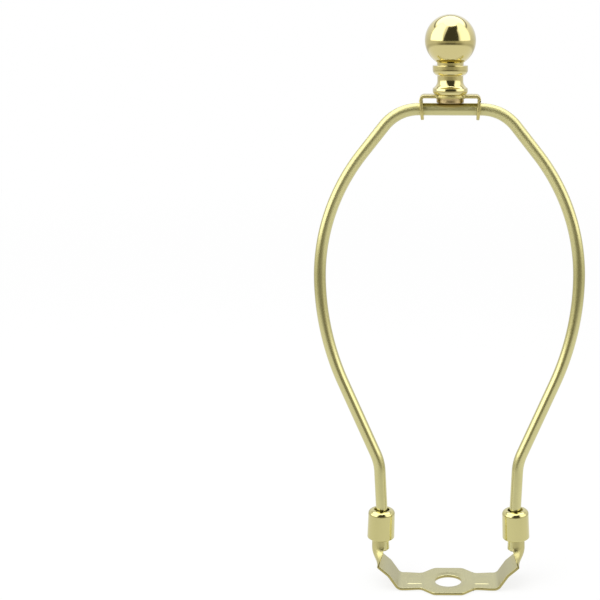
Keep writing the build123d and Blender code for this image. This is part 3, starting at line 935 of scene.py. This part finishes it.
class HARP_OT_saddle(bpy.types.Operator):
    """Presses the saddle from its strip, with the rolled sockets for the legs"""

    bl_idname = "harp.saddle"
    bl_label = "Saddle"
    bl_options = {"REGISTER", "UNDO"}

    def execute(self, context):
        size, wire, cup = context.scene.harp_saddle, context.scene.harp_wire, context.scene.harp_ferrule
        half_sheet = size.sheet / 2
        middle = size.dish_depth + half_sheet
        lean = size.socket_lean
        inner = wire.diameter / 2 + size.socket_gap
        centre_radius = inner + half_sheet
        shift = size.seat_gap - size.socket_gap
        slope = math.tan(lean)

        def wall_x(height):
            outer = wire.leg_spacing / 2 + (shift + centre_radius) / math.cos(lean)
            return outer + (wire.spacing_height - height) * slope

        top = wire.spacing_height - cup.top_wall * math.cos(lean) + (shift + centre_radius) * math.sin(lean)
        arm_start = wire.leg_spacing / 2 - size.arm_setback
        flat_end = arm_start - size.foot_radius
        knee_x = arm_start + (size.knee_height - middle) / math.tan(size.arm_slope)
        upper = math.tan(size.upper_slope)
        rise = (wall_x(size.knee_height) - knee_x) / (1 + slope * upper) * upper
        path = Path(
            [(flat_end, middle), (arm_start, middle), (knee_x, size.knee_height),
             (knee_x + rise / upper, size.knee_height + rise), (wall_x(top), top)],
            [size.foot_radius, size.knee_radius, size.heel_radius], step=0.9 * MM,
        )
        heel_start, heel_end = path.marks[4], path.marks[5]
        half_turn = math.pi / 2 + size.socket_wrap
        rolled = 2 * half_turn * centre_radius
        arm_half = size.arm_width / 2
        bead_start, bead_end = size.bead_start, flat_end - size.bead_margin
        wall = size.bead_height

        # Rows across the strip, with lines along the bead's walls
        soft, clear = 0.05 * MM, 0.1 * MM
        inside_count, outside_count = 7, 15
        bead_half = size.bead_width / 2

        def creases(first, last):
            """Lines on both sides of the two creases of a wall."""
            return [first - soft, first + soft, last - soft, last + soft]

        def rows(width_half):
            """Places across the strip, from edge to edge, by half its width."""
            edge = creases(bead_half - wall, bead_half)
            inside = [bead_half * k / inside_count for k in range(inside_count)]
            step = (width_half - edge[-1]) / outside_count
            run = [edge[-1] + step * k for k in range(1, outside_count + 1)]
            return both_ways([v for v in inside if v < edge[0] - clear] + edge + run)

        # Outline of the pad, softened at its corners
        pad_end = flat_end - size.strip_run
        outline = softened(
            [(0, size.pad_width / 2), (pad_end - size.pad_taper, size.pad_width / 2),
             (pad_end, size.strip_width / 2), (flat_end, arm_half)],
            size.pad_corner, steps=8, limit=2.0,
        )

        def edge_at(along):
            """Half the strip's width at a length along it."""
            for a, b in zip(outline, outline[1:]):
                if a[0] <= along <= b[0] + 1e-9:
                    return a[1] + (b[1] - a[1]) * (along - a[0]) / max(1e-9, b[0] - a[0])
            return arm_half

        # Pad round the hole: rays from the hole to the pad's edge
        sheet = Sheet()
        join_gap, longest_edge, pad_count = 0.6 * MM, 0.7 * MM, 6
        join = bead_start - join_gap
        side_rows = [(join, v) for v in rows(edge_at(join))]
        back = [point for point in divided(outline, longest_edge) if 0 <= point[0] < join - 1e-6]
        quarter = [spot for spot in side_rows if spot[1] >= 0]
        hole, dish = size.hole_diameter / 2, size.dish_diameter / 2
        # Rings round the hole, and on both sides of the crease where the dish begins, in millimetres
        radii = [hole + gap * MM for gap in (0.0, 0.5, 1.2)]
        radii += [dish + gap * MM for gap in (-0.4, -0.15, 0.0, 0.15, 0.4)]

        def pad_stops(reach):
            """The radii of the spots on a ray from the hole, by its reach."""
            flat = radii[-1]
            return radii + [flat + (reach - flat) * k / pad_count for k in range(1, pad_count + 1)]

        sheet.rays(0.0, ring_of(quarter + back[::-1]), pad_stops)

        # Strip with its bead, from the pad to the arm's start
        along_count = 8
        stations = [join, bead_start - join_gap / 2] + creases(bead_start, bead_start + wall)
        run = bead_end - bead_start - 2 * (wall + clear)
        stations += [bead_start + wall + clear + run * k / along_count for k in range(1, along_count)]
        stations += creases(bead_end - wall, bead_end) + [flat_end]
        strip = [[(along, v) for v in rows(edge_at(along))] for along in stations]
        strip[0] = side_rows

        # Arm and socket: the rows keep their share of the width
        lengths = [total for total in path.lengths[1:] if total > 1e-6]
        dense, fold_pieces = [], 3
        for a, b in zip([0.0] + lengths, lengths):
            pieces = fold_pieces if heel_start < (a + b) / 2 < heel_end + size.fold_reach else 1
            dense += [a + (b - a) * k / pieces for k in range(1, pieces + 1)]
        across_arm = rows(arm_half)
        arm = [[(flat_end + total, v) for v in across_arm] for total in [0.0] + dense]
        right = strip[:-1] + arm
        sheet.grid(right)
        sheet.grid(mirrored(right))

        def bead_lift(along, across):
            """Height of the pressed bead over the strip."""
            inward = min(abs(along) - bead_start, bead_end - abs(along), bead_half - abs(across))
            part = max(0.0, min(1.0, inward / wall))
            return size.bead_height * part

        def dish_drop(radius):
            """Depth of the dish round the hole."""
            return size.dish_depth * max(0.0, min(1.0, (dish - radius) / (dish - hole)))

        def place(along, across):
            """The points of a spot on the lower and the upper skin, curled in where the socket is."""
            side = 1 if along >= 0 else -1
            reach = abs(along)
            if reach <= flat_end + 1e-7:
                level = middle + bead_lift(along, across) - dish_drop(math.hypot(along, across))
                return [Vector((along, across, level + away)) for away in (-half_sheet, half_sheet)]
            total = reach - flat_end
            point, heading = path.at(total)
            begin = heel_start + size.fold_start * (heel_end - heel_start)
            part = max(0.0, min(1.0, (total - begin) / (heel_end + size.fold_reach - begin)))
            curl = math.sin(math.pi / 2 * part)
            width = size.arm_width + curl * (rolled - size.arm_width)
            bend = curl * half_turn
            arc = across / arm_half * width / 2
            if bend < 1e-6:
                over, inward = arc, 0.0
                over_way, inward_way = 0.0, 1.0
            else:
                radius = width / 2 / bend
                turned_by = arc / radius
                over, inward = radius * math.sin(turned_by), radius * (1 - math.cos(turned_by))
                over_way, inward_way = -math.sin(turned_by), math.cos(turned_by)
            return [
                off_path(point, heading, side, over + over_way * away, inward + inward_way * away)
                for away in (-half_sheet, half_sheet)
            ]

        obj = sheet.solid("saddle_sheet", place)
        round_edges(obj, size.edge_round)
        # From 7 to 14 mm up the sheet takes the sockets' warmer tone, a painted reflection, and turns rougher
        finish = context.scene.harp_finish
        # The cut edges' tone is the bare sheared brass, darkened as painted shade
        material = brass(
            "Plated sheet", finish.saddle, roughness=0.2, spread=0.06, bump=0.012, edge_tone=finish.edge,
            upper_tone=finish.socket, upper_roughness=0.4, upper_range=(7 * MM, 14 * MM),
        )
        finished(obj, "saddle_dressed", "frame", "saddle", material)
        return {"FINISHED"}


class HARP_OT_ferrules(bpy.types.Operator):
    """Draws the two ferrules that lock the legs in their sockets"""

    bl_idname = "harp.ferrules"
    bl_label = "Ferrules"
    bl_options = {"REGISTER", "UNDO"}

    def execute(self, context):
        size, wire = context.scene.harp_ferrule, context.scene.harp_wire
        hole = wire.diameter / 2 + size.wire_gap
        bore = size.rim_diameter / 2 - size.wall
        corners = [
            (hole, -size.top_wall / 2), (hole, 0), (size.top_diameter / 2, 0),
            (size.rim_diameter / 2, -size.height), (bore, -size.height),
            (bore, -size.top_wall), (hole, -size.top_wall),
        ]
        rounds = {1: size.hole_round, 2: size.shoulder, 3: size.rim_round, 5: size.inner_radius}
        profile = softened(corners, size.edge_round, closed=True, own_radii=rounds)
        profile = divided(profile + [profile[0]], longest=1.2 * MM)
        material = brass(
            "Drawn ferrule", context.scene.harp_finish.ferrule, roughness=0.14, spread=0.05, bump=0.01,
            lines=(1, 1, 0.05), shift=0.1, coat=0.4,
        )
        for side, name in ((-1, "ferrule_left"), (1, "ferrule_right")):
            obj = turned(name + "_profile", profile, size.sides, material)
            mesh = plain_mesh(obj, name + "_dressed")
            lean = Matrix.Rotation(-side * context.scene.harp_saddle.socket_lean, 4, "Y")
            mesh.transform(Matrix.Translation((side * wire.leg_spacing / 2, 0, wire.spacing_height)) @ lean)
            bpy.data.objects.remove(obj)
            made = new_object(name + "_dressed", mesh)
            finished(made, name + "_dressed", name, name, material)
        return {"FINISHED"}


class HARP_OT_bracket(bpy.types.Operator):
    """Presses the swivel bracket that turns on the top of the wire"""

    bl_idname = "harp.bracket"
    bl_label = "Swivel bracket"
    bl_options = {"REGISTER", "UNDO"}

    def execute(self, context):
        size, wire, stud = context.scene.harp_bracket, context.scene.harp_wire, context.scene.harp_stud
        half_sheet = size.sheet / 2
        half_width = size.ear_width / 2
        level = size.plate_top - half_sheet
        top_x = size.width / 2 - half_sheet
        depth = level - wire.top_height + half_width
        end = (top_x - depth * math.tan(size.ear_lean), level - depth)
        path = Path([(0, level), (top_x, level), end], [size.corner - half_sheet], step=0.4 * MM)
        wire_at = path.lengths[-1] - half_width / math.cos(size.ear_lean)
        # The ears' rays start ear_gap past the bend, and the plate's reach plate_gap past the seat's blend
        ear_gap, plate_gap = 0.4 * MM, 0.8 * MM
        ear_start = path.marks[1] + ear_gap
        across = both_ways([half_width * k / 8 for k in range(9)])

        def hole_stops(hole):
            """The radii of the spots on a ray, by its reach."""
            rim_width, ray_count = 0.25 * MM, 5
            rim = [hole, hole + rim_width]
            shares = [k / ray_count for k in range(2, ray_count + 1)]
            return lambda reach: rim + [hole + (reach - hole) * part for part in shares]

        # Plate with its round seat
        sheet = Sheet()
        disc = size.disc / 2
        blend_x = math.sqrt((disc + size.blend) ** 2 - (half_width + size.blend) ** 2)
        touch = math.atan2(half_width + size.blend, blend_x)
        plate_end = blend_x + plate_gap
        blend = arc_points((blend_x, half_width + size.blend), size.blend, -math.pi / 2, touch - math.pi, 6)
        seat = arc_points((0, 0), disc, touch, math.pi / 2, 14)
        quarter = [(plate_end, v) for v in across if v >= 0] + blend + seat[1:]
        sheet.rays(0.0, ring_of(quarter), hole_stops(stud.diameter / 2 + size.stud_gap))

        # Strip over the bends, and the ears round the wire
        clear = 0.1 * MM
        bends = [total for total in path.lengths if plate_end + clear < total < ear_start - clear]
        strip = [[(along, v) for v in across] for along in [plate_end] + bends + [ear_start]]
        sheet.grid(strip)
        sheet.grid(mirrored(strip))
        side = [(ear_start + (wire_at - ear_start) * k / 5, half_width) for k in range(1, 5)]
        curve = arc_points((wire_at, 0), half_width, math.pi / 2, 0, 14)
        ring = [(ear_start, v) for v in across if v >= 0] + side + curve
        ring += [(x, -y) for x, y in reversed(ring[1:-1])]
        ear_stops = hole_stops(wire.diameter / 2 + size.swivel_gap)
        sheet.rays(wire_at, ring[::-1], ear_stops)
        sheet.rays(-wire_at, [(-x, y) for x, y in ring], ear_stops)

        def place(along, over):
            """The points of a spot on the lower and the upper skin."""
            side = 1 if along >= 0 else -1
            point, heading = path.at(abs(along))
            return [off_path(point, heading, side, over, away) for away in (-half_sheet, half_sheet)]

        obj = sheet.solid("bracket_sheet", place)
        round_edges(obj, size.edge_round)
        finish = context.scene.harp_finish
        material = brass(
            "Pressed bracket", finish.bracket, roughness=0.27, spread=0.06, bump=0.01,
            edge_tone=finish.bracket_edge, edge_roughness=0.5,
        )
        finished(obj, "swivel_bracket_dressed", "swivel", "swivel_bracket", material)
        return {"FINISHED"}


class HARP_OT_stud(bpy.types.Operator):
    """Turns the stud and cuts its thread"""

    bl_idname = "harp.stud"
    bl_label = "Threaded stud"
    bl_options = {"REGISTER", "UNDO"}

    def execute(self, context):
        size = context.scene.harp_stud
        head, shank = size.head_diameter / 2, size.diameter / 2
        base = size.plate_underside
        top = base + size.plate + size.reach
        corner_round, longest_run = 0.15 * MM, 0.06 * MM
        corners = [
            (0, base - size.head_thickness), (head, base - size.head_thickness),
            (head, base - size.head_flare), (head + size.head_flare, base), (shank, base),
            (shank, top - size.tip_chamfer), (shank - size.tip_chamfer, top), (0, top),
        ]
        profile = divided(softened(corners, corner_round), longest_run)
        material = brass(
            "Bare stud", context.scene.harp_finish.stud, roughness=0.3, spread=0.08, bump=0.015,
            lines=(0, 0, 1), shift=0.15,
        )
        obj = turned("threaded_stud_profile", profile, size.sides, material)
        use_tree(
            obj, thread_tree(), pitch=size.pitch, depth=size.thread_depth, start=base + size.plate,
            end=top - size.tip_chamfer, radius=shank, material=material,
        )
        finished(obj, "threaded_stud_dressed", "swivel", "threaded_stud", material)
        return {"FINISHED"}


class HARP_OT_finial(bpy.types.Operator):
    """Turns the ball finial from one bar"""

    bl_idname = "harp.finial"
    bl_label = "Ball finial"
    bl_options = {"REGISTER", "UNDO"}

    def execute(self, context):
        size = context.scene.harp_finial
        flange, collar = size.flange_diameter / 2, size.collar_diameter / 2
        waist, neck, ball = size.waist_diameter / 2, size.neck_diameter / 2, size.ball_diameter / 2
        bore = size.bore_diameter / 2
        neck_end = size.ball_height - math.sqrt(ball ** 2 - neck ** 2)
        chain = [(0, size.bore_depth + bore * math.tan(size.drill_angle)), (bore, size.bore_depth), (bore, 0)]
        chain += bowed((size.base_diameter / 2, 0), (flange, size.flange_height), size.lip_bulge, 6)
        cove_start = (flange - size.edge_set, size.cove_start)
        chain += bowed(cove_start, (waist, size.waist_start), -size.cove_hollow, 9)
        chain += bowed((waist, size.waist_end), (collar, size.collar_start), size.rise_bulge, 8)
        chain += [(collar, size.collar_end), (neck, size.collar_end)]
        begin = math.atan2(neck_end - size.ball_height, neck)
        chain += arc_points((0, size.ball_height), ball, begin, math.pi / 2, 64)
        chain[-1] = (0, size.ball_height + ball)
        profile = [(x, z + size.seat_height) for x, z in softened(chain, size.edge_round)]
        profile = divided(profile, longest=1.0 * MM)
        material = brass(
            "Turned finial", context.scene.harp_finish.finial, roughness=0.1, spread=0.03, bump=0.004,
            lines=(0, 0, 1), line_scale=1.5, shift=0.06, coat=0.8,
        )
        obj = turned("finial_profile", profile, size.sides, material)
        finished(obj, "finial_dressed", "finial", "finial", material)
        return {"FINISHED"}


def lit_material(name):
    """A new material without its shader, and the helper for its tree."""
    made = bpy.data.materials.new(name)
    made.use_nodes = True
    made.node_tree.nodes.remove(made.node_tree.nodes["Principled BSDF"])
    return made, Nodes(made.node_tree)


def studio_dome(stage):
    """A dome that only reflections see: its soft boxes, the dark side of the room and the low front.

    All angles are in degrees: up over the horizon, and turned_to from the camera's side to the right.
    """
    radius, centre_height = 5.0, 0.1
    work = bmesh.new()
    bmesh.ops.create_uvsphere(work, u_segments=64, v_segments=32, radius=radius)
    bmesh.ops.reverse_faces(work, faces=work.faces)
    mesh = bpy.data.meshes.new("studio_dome")
    work.to_mesh(mesh)
    work.free()
    made, n = lit_material("Studio dome")
    way = n.add("ShaderNodeVectorMath", {"operation": "NORMALIZE"})
    n.put(way.inputs[0], n.add("ShaderNodeTexCoord").outputs["Object"])
    part = n.add("ShaderNodeSeparateXYZ", Vector=way.outputs[0]).outputs
    degrees = 180 / math.pi
    up = n.math("MULTIPLY", n.math("ARCSINE", part["Z"]), degrees)
    front_way = n.math("MULTIPLY", part["Y"], -1.0)
    turned_to = n.math("MULTIPLY", n.math("ARCTAN2", part["X"], front_way), degrees)
    aside = n.math("ABSOLUTE", turned_to)
    upper = n.step(up, -0.5, 0.5)
    height = n.math("MAXIMUM", up, 0.0)

    # Plain room, with a white backdrop behind and a gap above it
    floor_level, room_level, gain_by_height, gap_level = 0.97, 0.78, 0.009, 0.3
    behind = n.step(aside, 95.0, 110.0)
    room = n.math("ADD", room_level, n.math("MULTIPLY", height, gain_by_height))
    level = n.blend(floor_level, upper, room)
    level = n.blend(level, n.math("MULTIPLY", behind, n.window(up, 36.0, 41.0, 1.5)), gap_level)
    level = n.blend(level, n.math("MULTIPLY", behind, n.step(up, 43.0, 48.0)), stage.top_box)
    # Soft boxes
    boxes = n.window(up, 1.0, 66.0, 1.5)
    left = n.math("MULTIPLY", n.window(turned_to, -100.0, -36.0, 4.0), boxes)
    level = n.blend(level, left, stage.left_box)
    right = n.math("MULTIPLY", n.window(turned_to, 46.0, 100.0, 8.0), boxes)
    level = n.blend(level, right, stage.right_box)
    level = n.blend(level, n.step(up, 65.0, 69.0), stage.top_box)
    # Dark side of the room behind the camera, which leans to the right towards its top
    card_left, left_lean, card_right, right_lean, lean_from = -33.0, 0.25, 38.0, 1.2, 45.0
    left_edge = n.math("ADD", card_left, n.math("MULTIPLY", height, left_lean))
    above_lean = n.math("MAXIMUM", n.math("SUBTRACT", up, lean_from), 0.0)
    right_edge = n.math("ADD", card_right, n.math("MULTIPLY", above_lean, right_lean))
    after_left = n.step(n.math("SUBTRACT", turned_to, left_edge), -2.0, 2.0)
    before_right = n.step(n.math("SUBTRACT", right_edge, turned_to), -3.0, 3.0)
    between = n.math("MULTIPLY", after_left, before_right)
    front = n.math("MULTIPLY", between, n.window(up, 0.0, 66.0, 1.0))
    level = n.blend(level, front, stage.front_card)
    # Low front: a paler strip at the horizon, dark under it, and white further down
    side_loss, strip_gain, side_gain = 0.6, 0.33, 0.12
    fade = n.math("MULTIPLY", n.step(up, -20.0, -13.0), n.math("SUBTRACT", 1.0, upper))
    lost = n.math("MULTIPLY", n.step(aside, 35.0, 75.0), side_loss)
    low = n.math("MULTIPLY", fade, n.math("SUBTRACT", 1.0, lost))
    strip = n.math("MULTIPLY", n.step(up, -10.5, -7.0), strip_gain)
    sides = n.math("MULTIPLY", n.step(aside, 16.0, 30.0), side_gain)
    shade = n.math("ADD", n.math("ADD", stage.low_card, strip), sides)
    level = n.blend(level, low, shade)
    tinted = n.mix(n.math("MAXIMUM", front, low), solid((1, 1, 1)), solid(stage.dark_tint))
    light = n.add("ShaderNodeEmission", Color=tinted, Strength=level)
    n.put(made.node_tree.nodes["Material Output"].inputs["Surface"], light.outputs[0])
    mesh.materials.append(made)
    for face in mesh.polygons:
        face.use_smooth = True
    dome = new_object("studio_dome", mesh)
    dome.location = (0, 0, centre_height)
    dome.visible_camera = False
    dome.visible_diffuse = False
    dome.visible_shadow = False
    dome.visible_transmission = False


class HARP_OT_stage(bpy.types.Operator):
    """Sets the floor, the studio light and the camera"""

    bl_idname = "harp.stage"
    bl_label = "Studio"
    bl_options = {"REGISTER", "UNDO"}

    def execute(self, context):
        stage = context.scene.harp_stage
        scene = context.scene
        scene.view_settings.view_transform = "Standard"

        # Floor
        half = stage.floor_half
        mesh = bpy.data.meshes.new("floor")
        corners = [(-half, -half, 0), (half, -half, 0), (half, half, 0), (-half, half, 0)]
        mesh.from_pydata(corners, [], [(0, 1, 2, 3)])
        paper, n = lit_material("Floor paper")
        far = n.add("ShaderNodeVectorMath", {"operation": "LENGTH"})
        n.put(far.inputs[0], n.add("ShaderNodeTexCoord").outputs["Object"])
        # The paper is white by itself for the most part, and wholly so far from the harp
        near_share = 0.8
        fading = n.blend(near_share, n.step(far.outputs["Value"], 0.25, 1.2), 1.0)
        matt = n.add("ShaderNodeBsdfDiffuse", Color=solid(stage.floor_colour))
        white = n.add("ShaderNodeEmission", Color=(1, 1, 1, 1), Strength=1.0)
        blend = paper.node_tree.nodes.new("ShaderNodeMixShader")
        n.put(blend.inputs[0], fading)
        n.put(blend.inputs[1], matt.outputs[0])
        n.put(blend.inputs[2], white.outputs[0])
        n.put(paper.node_tree.nodes["Material Output"].inputs["Surface"], blend.outputs[0])
        mesh.materials.append(paper)
        floor = new_object("floor", mesh)
        floor.visible_glossy = False

        # What the polished brass sees round it
        studio_dome(stage)

        # Lamp for the floor's soft shadow
        lamp_data = bpy.data.lights.new("lamp_above", "AREA")
        lamp_data.shape = "DISK"
        lamp_data.size = 1.2
        lamp_data.energy = stage.lamp_power
        lamp = new_object("lamp_above", lamp_data)
        lamp.location = (-0.3, -0.4, 1.5)
        aim = Vector((0, 0, 0.05)) - lamp.location
        lamp.rotation_euler = aim.to_track_quat("-Z", "Y").to_euler()
        lamp.visible_glossy = False

        # Room: white to the camera and in reflections, soft light on the floor
        world = bpy.data.worlds.new("Studio")
        world.use_nodes = True
        scene.world = world
        n = Nodes(world.node_tree)
        rays = n.add("ShaderNodeLightPath").outputs
        reflected = n.math("MAXIMUM", rays["Is Glossy Ray"], rays["Is Transmission Ray"])
        seen = n.math("MAXIMUM", rays["Is Camera Ray"], reflected)
        level = n.math("ADD", stage.room_light, n.math("MULTIPLY", seen, 1.0 - stage.room_light))
        background = world.node_tree.nodes["Background"]
        background.inputs["Color"].default_value = (1, 1, 1, 1)
        n.put(background.inputs["Strength"], level)

        # Camera
        camera_data = bpy.data.cameras.new("camera")
        camera_data.lens = stage.camera_lens
        camera_data.sensor_width = 36
        camera_data.shift_x = stage.frame_shift
        camera_data.clip_start = 0.01
        camera_data.clip_end = 100
        camera = new_object("camera", camera_data)
        pitch = Matrix.Rotation(math.pi / 2 - stage.camera_pitch, 4, "X")
        roll = Matrix.Rotation(stage.camera_roll, 4, "Z")
        place = Matrix.Translation((0, -stage.camera_distance, stage.camera_height))
        camera.matrix_world = place @ (pitch @ roll)
        scene.camera = camera
        return {"FINISHED"}


class HARP_PT_panel(bpy.types.Panel):
    """Steps that build the lamp harp"""

    bl_idname = "HARP_PT_panel"
    bl_label = "Lamp Harp"
    bl_space_type = "VIEW_3D"
    bl_region_type = "UI"
    bl_category = "Lamp Harp"

    def draw(self, context):
        column = self.layout.column(align=True)
        for step in STEPS:
            column.operator(step.bl_idname)


GROUPS = {
    "harp_wire": HARP_PG_wire,
    "harp_saddle": HARP_PG_saddle,
    "harp_ferrule": HARP_PG_ferrule,
    "harp_bracket": HARP_PG_bracket,
    "harp_stud": HARP_PG_stud,
    "harp_finial": HARP_PG_finial,
    "harp_finish": HARP_PG_finish,
    "harp_stage": HARP_PG_stage,
}
STEPS = (
    HARP_OT_wire, HARP_OT_saddle, HARP_OT_ferrules, HARP_OT_bracket, HARP_OT_stud, HARP_OT_finial,
    HARP_OT_stage,
)


def register():
    for kind in (*GROUPS.values(), *STEPS, HARP_PT_panel):
        bpy.utils.register_class(kind)
    for name, kind in GROUPS.items():
        setattr(bpy.types.Scene, name, bpy.props.PointerProperty(type=kind))


def unregister():
    for name in GROUPS:
        delattr(bpy.types.Scene, name)
    for kind in reversed((*GROUPS.values(), *STEPS, HARP_PT_panel)):
        bpy.utils.unregister_class(kind)


def main():
    register()
    bpy.ops.harp.wire()
    bpy.ops.harp.saddle()
    bpy.ops.harp.ferrules()
    bpy.ops.harp.bracket()
    bpy.ops.harp.stud()
    bpy.ops.harp.finial()
    bpy.ops.harp.stage()


if __name__ == "__main__":
    main()
